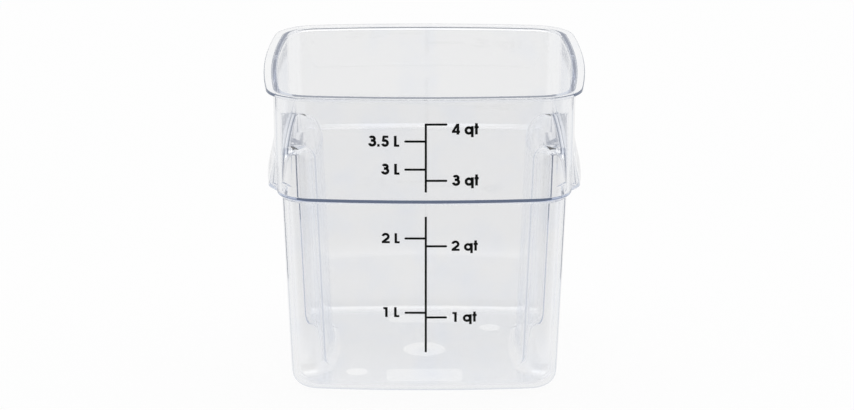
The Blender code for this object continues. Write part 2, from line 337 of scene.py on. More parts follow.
print("the recess flank ends at x, mm:", round(MM * flank_limit(), 2))

# %% [markdown]
# The lower body is the same stack twice: once for the outside, once set in by the wall
# for the cavity. Both bulge round the recess, because a moulded wall has the same
# thickness everywhere. Near the floor both turn in on a fillet, and at the ledge they turn
# out on a small one.

# %% Rings of the lower body
LOWER_WALL_STEPS = 14


def lower_ring(z, height, thickness, inset=0.0, step=0.0):
    """A ring of the lower body: inset rounds it in to the floor, step rounds it out to the ledge."""
    outline = notched_outline(
        height,
        lower_half(height) - thickness - inset + step,
        LOWER_BOW,
        LOWER_CORNER - thickness - inset + step,
        thickness - WALL + inset,
        RECESS_FILLET + WALL - thickness - inset,
        flank_limit(),
    )
    return lifted(outline, z)


def lower_rings(thickness, floor, foot_radius):
    """Rings from the floor's edge, round the foot fillet, up the wall and out to the ledge."""
    foot = floor + foot_radius
    rings = [lower_ring(floor, foot, thickness, foot_radius + SUPPORT)]
    for inset, rise in quarter_round(foot_radius):
        rings.append(lower_ring(floor + rise, foot, thickness, inset))
    for share in crowd_at_both(LOWER_WALL_STEPS)[1:]:
        z = foot + (LEDGE_HEIGHT - foot) * share
        rings.append(lower_ring(z, z, thickness))
    bend = ledge_bend(LEDGE_CREASE + thickness)
    bend.append((bend[-1][0] + SUPPORT * cos(LEDGE_SLOPE), bend[-1][1] + SUPPORT * sin(LEDGE_SLOPE)))
    for spread, rise in bend[1:]:
        z = LEDGE_HEIGHT + rise
        rings.append(lower_ring(z, z, thickness, step=spread))
    return rings


outside_lower = lower_rings(0, 0, BASE_RADIUS)
inside_lower = lower_rings(WALL, FLOOR_THICKNESS, INNER_BASE_RADIUS)
print("rings outside and inside:", len(outside_lower), len(inside_lower))

# %% [markdown]
# Above the ledge the cavity widens into the collar. The recess wall keeps rising past the
# ledge and ends in a rounded top, like a step inside the tub. So these rings still have
# the recess in them, and they shrink towards its top. From there up the collar is plain,
# and its points keep their places along the wall, so that the flat top of the recess can
# be filled between them.

# %% Rings of the cavity in the collar
SMALL_BEND_STEPS = 5
RECESS_WALL_STEPS = 8
RECESS_TO_GRIP_STEPS = 2
CAVITY_WALL_STEPS = 10


def cavity_ring(z, inset=0.0, shrink=0.0):
    """One ring of the cavity beside the recess wall; shrink draws the recess in towards its top."""
    outline = notched_outline(
        z,
        collar_half(z) - WALL - inset,
        COLLAR_BOW,
        COLLAR_CORNER - WALL - inset,
        -shrink,
        RECESS_FILLET,
        flank_limit(),
        grip_reach(z),
    )
    return lifted(outline, z)


def notched_cavity_rings():
    """Rings over the ledge, up beside the recess wall and over its rounded top."""
    bend = ledge_bend(SMALLEST_RADIUS, SMALL_BEND_STEPS)
    bend.append((bend[-1][0] + SUPPORT * cos(LEDGE_SLOPE), bend[-1][1] + SUPPORT * sin(LEDGE_SLOPE)))
    foot = ledge_top(LEDGE_CREASE + WALL, SMALLEST_RADIUS)
    rings = [cavity_ring(foot - drop, inset) for inset, drop in bend[::-1]]
    for share in crowd_at_both(RECESS_WALL_STEPS)[1:]:
        rings.append(cavity_ring(foot + (RECESS_TOP - RECESS_TOP_RADIUS - foot) * share))
    for inset, rise in quarter_round(RECESS_TOP_RADIUS)[::-1][1:]:
        rings.append(cavity_ring(RECESS_TOP - rise, shrink=inset))
    return rings


def shares_over_recess(top_ring):
    """Where the points of the recess top and the wall beside it meet the collar, as side shares."""
    half = collar_half(RECESS_TOP) - WALL
    radius, back, _, turn = bowed_frame(half, COLLAR_BOW, COLLAR_CORNER - WALL)
    wall_y = top_ring[LAST_TURN:LAST_TURN + GRIP_SIDE_STEPS + 1, 1]
    wall_shares = np.arcsin(wall_y / radius) / turn
    over_recess = top_ring[:LAST_TURN + 1, :2]
    lengths = np.concatenate([[0], np.cumsum(np.hypot(*np.diff(over_recess, axis=0).T))])
    return np.concatenate([wall_shares[0] * lengths[:-1] / lengths[-1], wall_shares])


def collar_outline(z, inset, side_shares):
    """The collar's outline, set in from its outside, at one height or at a height for each point."""
    low = plain_outline(COLLAR_FOOT_HALF - inset, COLLAR_BOW, COLLAR_CORNER - inset, side_shares)
    high = plain_outline(COLLAR_TOP_HALF - inset, COLLAR_BOW, COLLAR_CORNER - inset, side_shares)
    z = np.broadcast_to(z, len(low))
    climb = (z - LEDGE_HEIGHT) / (FLANGE_UNDERSIDE - LEDGE_HEIGHT)
    outline = low + (high - low) * climb[:, None]
    outline[:, 0] += grip_reach(z) * grip_share(outline[:, 1])
    return np.column_stack([outline, z])


def collar_cavity_rings(side_shares):
    """Rings of the plain collar cavity, from the recess top to the rounded inner edge of the rim."""
    heights = [RECESS_TOP + (GRIP_TOP - RECESS_TOP) * share for share in even(RECESS_TO_GRIP_STEPS)]
    top = TUB_HEIGHT - RIM_FILLET
    shares = crowd_at_both(CAVITY_WALL_STEPS)[1:]
    heights += [GRIP_TOP + (top - GRIP_TOP) * share for share in shares]
    places = [(z, 0.0) for z in heights]
    edge = quarter_round(RIM_FILLET, SMALL_BEND_STEPS)[1:]
    places += [(TUB_HEIGHT - inset, rise) for inset, rise in edge]
    places.append((TUB_HEIGHT, RIM_FILLET + SUPPORT))
    return [collar_outline(z, WALL - out, side_shares) for z, out in places]


notched_cavity = notched_cavity_rings()
recess_shares = shares_over_recess(notched_cavity[-1])
collar_cavity = collar_cavity_rings(recess_shares)
print("cavity rings in the collar:", len(notched_cavity), len(collar_cavity))

# %% [markdown]
# Outside, the collar starts at the lip of the hood, follows the flare up to the plain
# collar and runs out into the rim flange over a small fillet. Every edge is rounded a
# little, because a steel mould has no perfectly sharp corners.

# %% Rings of the outside of the collar
FLARE_STEPS = 16
COLLAR_WALL_STEPS = 8
RIM_ROUND_STEPS = 6


def shares_over_ledge():
    """The collar's points as shares of its side, so that they stand opposite the lower body's points."""
    radius, _, _, turn = bowed_frame(COLLAR_FOOT_HALF, COLLAR_BOW, COLLAR_CORNER)
    first = np.arcsin(outside_lower[-1][LAST_TURN, 1] / radius) / turn
    beside = first + (1 - first) * crowd_at_both(GRIP_SIDE_STEPS)
    return np.concatenate([first * even(LAST_TURN)[:-1], beside])


def collar_rings():
    """Rings from the rounded foot, up the flare and out under the flange."""
    bend = ledge_bend(LEDGE_FILLET)
    bend.append((bend[-1][0] + SUPPORT * cos(LEDGE_SLOPE), bend[-1][1] + SUPPORT * sin(LEDGE_SLOPE)))
    foot = ledge_top(LEDGE_CREASE, LEDGE_FILLET)
    rings = [collar_outline(foot - drop, inset, outside_shares) for inset, drop in bend[::-1]]
    for share in crowd_at_end(FLARE_STEPS)[1:]:
        rings.append(collar_outline(foot + (GRIP_TOP - foot) * share, 0, outside_shares))
    top = FLANGE_UNDERSIDE - FLANGE_FILLET
    for share in crowd_at_both(COLLAR_WALL_STEPS)[1:]:
        rings.append(collar_outline(GRIP_TOP + (top - GRIP_TOP) * share, 0, outside_shares))
    for inset, rise in quarter_round(FLANGE_FILLET, RIM_ROUND_STEPS)[1:]:
        rings.append(collar_outline(FLANGE_UNDERSIDE - inset, -rise, outside_shares))
    rings.append(collar_outline(FLANGE_UNDERSIDE, -FLANGE_FILLET - SUPPORT, outside_shares))
    return rings


def flange_rings():
    """Rings over the edge of the rim flange, from its underside to its top."""
    edge = quarter_round(RIM_FILLET, RIM_ROUND_STEPS)
    places = [(FLANGE_UNDERSIDE, RIM_FILLET + SUPPORT)]
    places += [(FLANGE_UNDERSIDE + rise, inset) for inset, rise in edge]
    places += [(TUB_HEIGHT - rise, inset) for inset, rise in edge[::-1]]
    places.append((TUB_HEIGHT, RIM_FILLET + SUPPORT))
    rings = []
    for z, inset in places:
        outline = plain_outline(RIM_HALF - inset, RIM_BOW, RIM_CORNER - inset, outside_shares)
        rings.append(lifted(outline, z))
    return rings


outside_shares = shares_over_ledge()
outside_collar = collar_rings()
flange = flange_rings()
print("rings of the collar and the flange:", len(outside_collar), len(flange))

# %% [markdown]
# The hollow under the hood is a stack of its own: a closed outline in plan, from the crest
# of the recess to the inner face of the hood. It shares its first points with the lower
# body, so the recess runs up under the hood in one piece.

# %% Rings of the hollow under the hood
HOLLOW_CORNER_STEPS = 10
HOLLOW_WALL_STEPS = 6
HOOD_STEPS = 12
HOLLOW_TOP = RECESS_TOP - WALL
HOLLOW_RADIUS = RECESS_TOP_RADIUS - WALL


def hollow_ring(z, inset=0.0):
    """One ring of the hollow under the hood, from its crest round to the hood's inner face."""
    bend, _ = recess_bend(recess_place(z), -WALL - inset)
    width = bend[-1, 1]
    mouth = collar_half(z) + grip_reach(z) - WALL - inset
    radius = (COLLAR_FOOT_HALF ** 2 + COLLAR_BOW ** 2) / (2 * COLLAR_BOW)
    corner = RECESS_MOUTH_CORNER
    corner_y = width - corner
    corner_x = mouth - radius + sqrt((radius - corner) ** 2 - corner_y ** 2)
    lean = atan2(corner_y, corner_x - mouth + radius)
    limit = np.array([flank_limit(), width])
    flank = bend[-1] + (limit - bend[-1]) * even(FLANK_STEPS)[:, None]
    extension = limit + ((corner_x, width) - limit) * even(FLANK_STEPS)[:, None]
    turn = arc((corner_x, corner_y), corner, pi / 2, lean, even(HOLLOW_CORNER_STEPS))
    hood = arc((mouth - radius, 0), radius, 0, lean, crowd_at_end(HOOD_STEPS))[::-1]
    return lifted(np.vstack([bend, flank[1:], extension[1:], turn[1:], hood[1:]]), z)


def hollow_foot():
    """The hollow's first ring: it starts on the lower body's last ring and climbs to the hood's lip."""
    low = hollow_ring(outside_lower[-1][0, 2])
    high = hollow_ring(outside_collar[0][0, 2])
    climb = np.clip((np.arange(len(low)) - LAST_FLANK) / FLANK_STEPS, 0, 1)
    return low + (high - low) * climb[:, None]


def hollow_rings():
    """Rings of the hollow, from the lip of the hood to its rounded ceiling."""
    lip = outside_collar[0][0, 2]
    rings = [hollow_foot()]
    for share in even(HOLLOW_WALL_STEPS)[1:]:
        rings.append(hollow_ring(lip + (HOLLOW_TOP - HOLLOW_RADIUS - lip) * share))
    for inset, rise in quarter_round(HOLLOW_RADIUS)[::-1][1:]:
        rings.append(hollow_ring(HOLLOW_TOP - rise, inset))
    rings.append(hollow_ring(HOLLOW_TOP, HOLLOW_RADIUS + SUPPORT))
    return rings


hollow = hollow_rings()
print("rings of the hollow:", len(hollow))

# %% [markdown]
# Now the stacks become one closed skin. Faces of four corners join each ring to the next,
# and the flat places between the stacks are single faces with many corners. The quarter
# is mirrored in X and in Y, and the seams are merged. A Mirror modifier would do the same,
# but a clear object shows every fault in its skin, and a finished mesh can be tested: the
# cell counts the edges that don't have exactly two faces.

# %% Skin the quarter and mirror it
MERGE_DISTANCE = 0.000002
SHARP_ANGLE = radians(35)
LITRES = 1000


def skin(faces, rings):
    """Add the four-cornered faces between each ring and the next."""
    for low, high in zip(rings, rings[1:]):
        for i in range(len(low) - 1):
            faces.append([low[i], low[i + 1], high[i + 1], high[i]])


def quarter_faces():
    """All faces of the quarter, each a list of corner points."""
    faces = []
    skin(faces, outside_lower)
    skin(faces, hollow)
    skin(faces, outside_collar + flange)
    skin(faces, inside_lower + notched_cavity)
    skin(faces, collar_cavity)
    flat_top = [notched_cavity[-1][:LAST_TURN + 1], collar_cavity[0][:LAST_TURN + 1]]
    skin(faces, flat_top)
    faces.append(list(outside_lower[0]) + [(0, 0, 0)])
    faces.append(list(inside_lower[0]) + [(0, 0, FLOOR_THICKNESS)])
    faces.append(list(hollow[-1]))
    faces.append(list(flange[-1]) + list(collar_cavity[-1][::-1]))
    skin(faces, [outside_lower[-1][LAST_TURN:], outside_collar[0][LAST_TURN:]])
    lip = list(outside_collar[0][LAST_TURN::-1]) + list(hollow[0][:LAST_FLANK:-1])
    faces.append(lip + list(outside_lower[-1][LAST_FLANK:LAST_TURN + 1]))
    return faces


def mirrored_skin(name, faces):
    """Build the mesh from the quarter and its three mirror images, merged and facing out."""
    body = bmesh.new()
    for turn_x in (1, -1):
        for turn_y in (1, -1):
            for face in faces:
                corners = [body.verts.new((x * turn_x, y * turn_y, z)) for x, y, z in face]
                body.faces.new(corners if turn_x == turn_y else corners[::-1])
    bmesh.ops.remove_doubles(body, verts=body.verts[:], dist=MERGE_DISTANCE)
    bmesh.ops.recalc_face_normals(body, faces=body.faces[:])
    open_edges = sum(1 for edge in body.edges if len(edge.link_faces) != 2)
    litres = round(LITRES * body.calc_volume(), 3)
    mesh = bpy.data.meshes.new(name)
    body.to_mesh(mesh)
    body.free()
    mesh.shade_smooth()
    mesh.set_sharp_from_angle(angle=SHARP_ANGLE)
    print("faces:", len(mesh.polygons), "open edges:", open_edges, "litres of plastic:", litres)
    return mesh


tub_mesh = mirrored_skin("tub_moulding", quarter_faces())
tub = bpy.data.objects.new("tub_moulding", tub_mesh)
bpy.context.scene.collection.objects.link(tub)
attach(tub, "root")
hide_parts("tub_body")

# %% [markdown]
# Materials, the floor and the world are all node trees. One small class makes them
# readable: it wraps a socket, so that sums on sockets add Math nodes, and one method adds
# any other node. A Mix node has sockets of the same name for each kind of value, so those
# for colours are picked by their place.

# %% A socket that can be used in sums
MIX_FIRST = 6
MIX_SECOND = 7
MIX_RESULT = 2


class Wire:
    """A socket of a node tree, for use in sums."""

    def __init__(self, tree, socket=None):
        self.tree = tree
        self.socket = socket

    def add(self, kind, settings=None, values=None, output=0):
        """Add a node of a kind: its settings first, then the values or links of its sockets."""
        node = self.tree.nodes.new(kind)
        for name, value in (settings or {}).items():
            setattr(node, name, value)
        for name, value in (values or {}).items():
            if isinstance(value, Wire):
                self.tree.links.new(value.socket, node.inputs[name])
            else:
                node.inputs[name].default_value = value
        return Wire(self.tree, node.outputs[output] if node.outputs else None)

    def maths(self, operation, first, second=0.0):
        """One Math node on two values or sockets."""
        return self.add("ShaderNodeMath", {"operation": operation}, {0: first, 1: second})

    def __add__(self, other):
        return self.maths("ADD", self, other)

    __radd__ = __add__

    def __sub__(self, other):
        return self.maths("SUBTRACT", self, other)

    def __rsub__(self, other):
        return self.maths("SUBTRACT", other, self)

    def __mul__(self, other):
        return self.maths("MULTIPLY", self, other)

    __rmul__ = __mul__

    def __truediv__(self, other):
        return self.maths("DIVIDE", self, other)

    def __rtruediv__(self, other):
        return self.maths("DIVIDE", other, self)

    def grey(self, level):
        """A colour with the same level in red, green and blue."""
        return self.add("ShaderNodeCombineColor", {}, {"Red": level, "Green": level, "Blue": level})

    def mix(self, factor, first, second):
        """A colour between two colours."""
        values = {"Factor": factor, MIX_FIRST: first, MIX_SECOND: second}
        return self.add("ShaderNodeMix", {"data_type": "RGBA"}, values, output=MIX_RESULT)

    def rising(self, start, end):
        """Nought below the start, one above the end, and smooth between them."""
        values = {"Value": self, "From Min": start, "From Max": end}
        return self.add("ShaderNodeMapRange", {"interpolation_type": "SMOOTHSTEP"}, values)


def empty_tree(owner):
    """Turn nodes on for a material or a world, and clear them."""
    owner.use_nodes = True
    owner.node_tree.nodes.clear()
    return Wire(owner.node_tree)


def new_material(name):
    """A material with an empty node tree."""
    material = bpy.data.materials.new(name)
    return material, empty_tree(material)


print("sums on sockets are ready")

# %% [markdown]
# The plastic is clear polycarbonate. Its surface is glossy and its inside takes away a
# little red and green light, which is why its edges look blue-grey. That colour comes from
# absorption along the light's way through the wall, so thin walls stay almost clear and
# edges, where light travels far, go darker. A tinted surface would darken both alike. A
# mould also leaves very shallow waves in the surface, and handling leaves a faint haze: two
# noises make them, which need no picture and never repeat.

# %% Haze and waves of the plastic
CLEAREST = (1, 1, 1, 1)
HAZIEST = (0.97, 0.98, 1, 1)
HAZE_ROUGHNESS = 0.02
HAZE_SIZE = 40.0
HAZE_DETAIL = 2.0
HAZE_START = 0.45
HAZE_FULL = 0.75
WAVE_SIZE = 22.0
WAVE_DETAIL = 1.0
WAVE_DEPTH = 0.00002

plastic, board = new_material("clear_plastic")
place = board.add("ShaderNodeTexCoord", output="Object")
haze_values = {"Vector": place, "Scale": HAZE_SIZE, "Detail": HAZE_DETAIL}
haze = board.add("ShaderNodeTexNoise", {}, haze_values)
wave_values = {"Vector": place, "Scale": WAVE_SIZE, "Detail": WAVE_DETAIL}
waves = board.add("ShaderNodeTexNoise", {}, wave_values)
clouded = haze.rising(HAZE_START, HAZE_FULL)
print("haze and waves are ready")

# %% [markdown]
# Under the floor the mould leaves low discs, where it was filled and where pins pushed the
# tub out, and two low plates with round corners. Each is a mask in X and Y that is only
# used on the underside. The plates are bare, and a polished ring in the middle disc shows
# the gate. A mask makes the surface finely matt, takes the blue-grey tone of the polished
# floor away and adds a faint painted light: the marks glow a little, in place of the light
# from above that a matt face scatters.

# %% Discs and plates under the floor
floor_discs = ((0, -0.0022, 0.0129), (-0.0404, -0.0442, 0.0065), (0.0408, 0.0398, 0.0065))
floor_plates = ((0, -0.0515, 0.0225, 0.0124), (0, 0.0573, 0.0223, 0.0075))
plate_share = 0.7
GATE_RADIUS = 0.0034
GATE_WIDTH = 0.0006
PLATE_CORNER = 0.0045
MARK_EDGE = 0.0004
MARK_ROUGHNESS = 0.1
UNDERSIDE = 0.0006
POLISHED_FLOOR = (0.86, 0.875, 0.895, 1)
# painted light: the faint glow of the matt marks, standing in for scattered light from above
PAINTED_SCATTER_GLOW = (0.07, 0.07, 0.066, 1)
BLACK = (0, 0, 0, 1)

across = board.add("ShaderNodeSeparateXYZ", {}, {0: place}, output="X")
along_y = board.add("ShaderNodeSeparateXYZ", {}, {0: place}, output="Y")
height = board.add("ShaderNodeSeparateXYZ", {}, {0: place}, output="Z")


def inside_edge(distance, edge):
    """One inside an edge and nought outside it, with a small slope between."""
    return 1 - distance.rising(edge - MARK_EDGE / 2, edge + MARK_EDGE / 2)


def rounded_distance(centre_x, centre_y, half_x, half_y):
    """Distance from the inner frame of a plate or from the middle of a disc."""
    over_x = board.maths("MAXIMUM", board.maths("ABSOLUTE", across - centre_x) - half_x, 0.0)
    over_y = board.maths("MAXIMUM", board.maths("ABSOLUTE", along_y - centre_y) - half_y, 0.0)
    return board.maths("SQRT", over_x * over_x + over_y * over_y)


marks = 0.0
for centre_x, centre_y, radius in floor_discs:
    marks = inside_edge(rounded_distance(centre_x, centre_y, 0, 0), radius) + marks
for centre_x, centre_y, half_x, half_y in floor_plates:
    frame_distance = rounded_distance(centre_x, centre_y, half_x - PLATE_CORNER, half_y - PLATE_CORNER)
    marks = inside_edge(frame_distance, PLATE_CORNER) * plate_share + marks
gate_distance = rounded_distance(*floor_discs[0][:2], 0, 0)
gate = inside_edge(gate_distance, GATE_RADIUS) - inside_edge(gate_distance, GATE_RADIUS - GATE_WIDTH)
below = 1 - height.rising(0, UNDERSIDE)
marks = (marks - gate) * below
polished = below * (1 - marks)
print("plastic nodes so far:", len(plastic.node_tree.nodes))

# %% [markdown]
# In a real wall some light runs on for dozens of reflections, but a renderer gives up after
# a few and leaves black lines. So a ray that has met the surface many times ends in a painted
# light there instead, a glow of the surface: a painted navy shade from the rim down to a
# little below the ledge, where the edges of the real tub are dark, and a painted pale light in
# the grips, the lower body and the finger recesses.

# %% Clear plastic
REFRACTIVE_INDEX = 1.585
PLASTIC_TINT = (0.55, 0.64, 0.86, 1)
TINT_DENSITY = 9.0
LAST_BOUNCE = 10.5
LAST_REFLECTION = 3.5
# painted light and painted shade: the glow that ends a late ray, pale in the grips and body, navy at the
# dark edges
PAINTED_PALE_GLOW = (0.66, 0.69, 0.74, 1)
PAINTED_NAVY_SHADE = (0.13, 0.16, 0.23, 1)
BELOW_LEDGE = 0.055
BAND_SLOPE = 0.004
GRIP_FOOT = 0.132
GRIP_HEAD = 0.166
WALL_START = 0.0795
WALL_FULL = 0.0815
CORNER_START = 0.13
CORNER_FULL = 0.135

tone = board.mix(polished, board.mix(clouded, CLEAREST, HAZIEST), POLISHED_FLOOR)
wavy = board.add("ShaderNodeBump", {}, {"Height": waves, "Distance": WAVE_DEPTH, "Strength": 1.0})
bounces = board.add("ShaderNodeLightPath", output="Ray Depth")
bounced = board.maths("GREATER_THAN", bounces, LAST_BOUNCE)
reflections = board.add("ShaderNodeLightPath", output="Glossy Depth")
mirrored = board.maths("GREATER_THAN", reflections, LAST_REFLECTION)
from_x = board.maths("ABSOLUTE", across)
from_y = board.maths("ABSOLUTE", along_y)
in_wall = board.maths("MAXIMUM", from_x, from_y).rising(WALL_START, WALL_FULL)
in_corner = (from_x + from_y).rising(CORNER_START, CORNER_FULL)
band_foot = LEDGE_HEIGHT - BELOW_LEDGE
in_band = height.rising(band_foot, band_foot + BAND_SLOPE)
over_foot = height.rising(GRIP_FOOT, GRIP_FOOT + BAND_SLOPE)
over_head = height.rising(GRIP_HEAD, GRIP_HEAD + BAND_SLOPE)
at_grip = (over_foot - over_head) * from_x.rising(WALL_START, WALL_FULL)
# where the painted navy shade goes: the dark edges from the rim down to below the ledge, less the grips
painted_dark_edge = board.maths("MAXIMUM", in_wall, in_corner) * (in_band - at_grip)
late = board.maths("MAXIMUM", bounced, mirrored)
painted_late_glow = board.mix(painted_dark_edge, PAINTED_PALE_GLOW, PAINTED_NAVY_SHADE)
clear_values = {
    "Base Color": tone,
    "Roughness": clouded * HAZE_ROUGHNESS + marks * MARK_ROUGHNESS,
    "IOR": REFRACTIVE_INDEX,
    "Transmission Weight": 1.0,
    "Normal": wavy,
    # painted light: the marks glow faintly in place of the light that their matt face scatters
    "Emission Color": board.mix(marks, BLACK, PAINTED_SCATTER_GLOW),
    "Emission Strength": 1.0,
}
clear_shader = board.add("ShaderNodeBsdfPrincipled", {}, clear_values)
tint = board.add("ShaderNodeVolumeAbsorption", {}, {"Color": PLASTIC_TINT, "Density": TINT_DENSITY})
# painted light: the plastic glows here in place of the light of further reflections
soft_light = board.add("ShaderNodeEmission", {}, {"Color": painted_late_glow, "Strength": 1.0})
surface = board.add("ShaderNodeMixShader", {}, {0: late, 1: clear_shader, 2: soft_light})
board.add("ShaderNodeOutputMaterial", {}, {"Surface": surface, "Volume": tint})
tub.data.materials.append(plastic)
print("absorption per metre:", TINT_DENSITY)

# %% [markdown]
# The ink is a very dark green, a little glossier in some places than in others, because it
# was pressed on. One flat colour would look like a hole in the wall, so a fine noise
# changes its roughness and its colour.

# %% Ink
INK_DARK = (0.001, 0.003, 0.002, 1)
INK_LIGHT = (0.003, 0.008, 0.006, 1)
INK_GLOSS = 0.25
INK_GRAIN = 900.0
INK_DETAIL = 3.0
MIDDLE = 0.5
INK_ROUGHNESS = 0.38
INK_ROUGHNESS_CHANGE = 0.16

ink, board = new_material("printing_ink")
place = board.add("ShaderNodeTexCoord", output="Object")
grain_values = {"Vector": place, "Scale": INK_GRAIN, "Detail": INK_DETAIL}
grain = board.add("ShaderNodeTexNoise", {}, grain_values)
colour = board.mix(grain, INK_DARK, INK_LIGHT)
roughness = INK_ROUGHNESS + INK_ROUGHNESS_CHANGE * (grain - MIDDLE)
ink_values = {"Base Color": colour, "Roughness": roughness, "Specular IOR Level": INK_GLOSS}
ink_shader = board.add("ShaderNodeBsdfPrincipled", {}, ink_values)
board.add("ShaderNodeOutputMaterial", {}, {"Surface": ink_shader})
print("ink nodes:", len(ink.node_tree.nodes))

# %% [markdown]
# The numerals are drawn as strokes: each is a line of points with a width, in units of the
# letter's height. A letter's entry starts with the room that it takes up. A text object
# would be quicker, but its font has other shapes: these are plain geometric ones, round
# bowls and straight stems.

# %% Strokes of the numerals
STEM = 0.245
BAR = 0.21
DIAGONAL = 0.215
LETTER_SIZE = 0.0065
lower_size_share = 0.94
SPACE = 0.42
BOWL_STEPS = 28


def bowl(x, y, radius, start, end):
    """Points along a bowl between two angles in degrees; an oval one has two radii."""
    wide, high = radius if isinstance(radius, tuple) else (radius, radius)
    angles = np.radians(np.linspace(start, end, BOWL_STEPS + 1))
    return [(x + wide * cos(angle), y + high * sin(angle)) for angle in angles]


glyphs = {
    "1": (0.56, [(BAR, [(0, 0.895), (0.28, 0.895)]), (STEM, [(0.28, 0), (0.28, 1)])]),
    "2": (0.74, [
        (STEM, bowl(0.36, 0.66, 0.25, 170, -49) + [(0.1, 0.1)]),
        (BAR, [(0.02, 0.095), (0.735, 0.095)]),
    ]),
    "3": (0.74, [
        (STEM, bowl(0.34, 0.72, (0.205, 0.17), 155, -90) + [(0.23, 0.55)]),
        (STEM, [(0.23, 0.55)] + bowl(0.345, 0.33, (0.25, 0.222), 90, -172)),
    ]),
    "4": (0.74, [
        (STEM, [(0.53, 0), (0.53, 1)]),
        (BAR, [(0, 0.26), (0.72, 0.26)]),
        (DIAGONAL, [(0.09, 0.26), (0.49, 0.94)]),
    ]),
    "5": (0.74, [
        (BAR, [(0.17, 0.905), (0.655, 0.905)]),
        (DIAGONAL, [(0.255, 0.96), (0.185, 0.45)]),
        (STEM, bowl(0.355, 0.33, 0.232, 135, -165)),
    ]),
    ".": (0.38, [(STEM, [(0.05, 0.108), (0.265, 0.108)])]),
    "L": (0.5, [(STEM, [(0.108, 0), (0.108, 1)]), (BAR, [(0.108, 0.093), (0.46, 0.093)])]),
    "q": (0.82, [(STEM, bowl(0.34, 0.37, 0.268, 0, 360)), (STEM, [(0.645, 0.77), (0.645, -0.25)])]),
    "t": (0.5, [(STEM, [(0.185, 0), (0.185, 1.03)]), (BAR, [(0, 0.67), (0.385, 0.67)])]),
}


def label_strokes(words, left, base, size):
    """Strokes of a label as (widths, points), from its left edge and its base line."""
    strokes = []
    for letter in words:
        if letter == " ":
            left += SPACE * LETTER_SIZE
            continue
        advance, lines = glyphs[letter]
        for width, points in lines:
            placed = [(left + x * LETTER_SIZE, base + y * size) for x, y in points]
            strokes.append(([width * size] * len(placed), placed))
        left += advance * LETTER_SIZE
    return strokes


print("letters drawn:", " ".join(glyphs))

# %% [markdown]
# Each scale is one upright line with marks on both sides. A mark's width shrinks over its
# last points, which gives it a round tip.

# %% Strokes of the two scales
LINE_X = 0.00085
LINE_WIDTH = 0.0013
MARK_WIDTH = 0.0013
MARK_REACH = 0.0124
TIP_STEPS = 8
tip_share = 0.02

upper_line = (0.1261, 0.1673)
lower_line = (0.0265, 0.1103)
upper_marks = ((0.1667, 1), (0.1566, -1), (0.1398, -1), (0.1331, 1))
lower_marks = ((0.097, -1), (0.0922, 1), (0.0511, -1), (0.0482, 1))
upper_labels = (
    ("3.5 L", -0.0322, 0.1535),
    ("3 L", -0.0248, 0.1368),
    ("4 qt", 0.0158, 0.1607),
    ("3 qt", 0.016, 0.1301),
)
lower_labels = (
    ("2 L", -0.0248, 0.0941),
    ("1 L", -0.024, 0.0484),
    ("2 qt", 0.0157, 0.0894),
    ("1 qt", 0.0164, 0.0454),
)


def mark_stroke(height, side):
    """A mark from the line outwards, with a round tip."""
    half = MARK_WIDTH / 2
    bend = LINE_X + side * (MARK_REACH - half)
    widths = [MARK_WIDTH]
    points = [(LINE_X, height)]
    for turn in np.linspace(0, pi / 2, TIP_STEPS + 1):
        widths.append(MARK_WIDTH * max(cos(turn), tip_share))
        points.append((bend + side * half * sin(turn), height))
    return widths, points


def scale_strokes(line, marks, labels, size):
    """All strokes of one scale: its line, its marks and its labels."""
    strokes = [([LINE_WIDTH, LINE_WIDTH], [(LINE_X, line[0]), (LINE_X, line[1])])]
    strokes += [mark_stroke(height, side) for height, side in marks]
    for words, left, base in labels:
        strokes += label_strokes(words, left, base, size)
    return strokes


upper_strokes = scale_strokes(upper_line, upper_marks, upper_labels, LETTER_SIZE)
lower_strokes = scale_strokes(lower_line, lower_marks, lower_labels, LETTER_SIZE * lower_size_share)
print("strokes:", len(upper_strokes), len(lower_strokes))

# %% [markdown]
# One geometry tree prints the strokes on the wall. It runs a flat profile along each
# stroke, as wide as the stroke's radius says, and then bends the flat print on to the
# bowed and leaning wall: the wall's half width follows from the height, and its bow from
# the distance to the middle. A Shrinkwrap modifier could do it too, but its gap to the
# wall would change from face to face, while a formula lays every point at the same gap.

# %% Print the strokes on the wall
FILM_SHARE = 0.06
PRINT_GAP = 0.00005

group = bpy.data.node_groups.new("print_on_wall", "GeometryNodeTree")
board = Wire(group)
group.interface.new_socket("Geometry", in_out="INPUT", socket_type="NodeSocketGeometry")
wall_inputs = {}
for name in ("Low Height", "Low Half", "High Height", "High Half", "Bow"):
    socket = group.interface.new_socket(name, in_out="INPUT", socket_type="NodeSocketFloat")
    wall_inputs[name] = socket.identifier
socket = group.interface.new_socket("Ink", in_out="INPUT", socket_type="NodeSocketMaterial")
ink_input = socket.identifier
group.interface.new_socket("Geometry", in_out="OUTPUT", socket_type="NodeSocketGeometry")

board.add("NodeGroupInput")
inputs = {socket.name: Wire(group, socket) for socket in group.nodes[-1].outputs if socket.name}
radius = board.add("GeometryNodeInputRadius")
profile = board.add("GeometryNodeCurvePrimitiveQuadrilateral", {}, {"Width": 1.0, "Height": FILM_SHARE})
upright = board.add("GeometryNodeSetCurveNormal", {"mode": "Z_UP"}, {0: inputs["Geometry"]})
ribbon_inputs = {"Curve": upright, "Profile Curve": profile, "Scale": radius, "Fill Caps": True}
ribbon = board.add("GeometryNodeCurveToMesh", {}, ribbon_inputs)

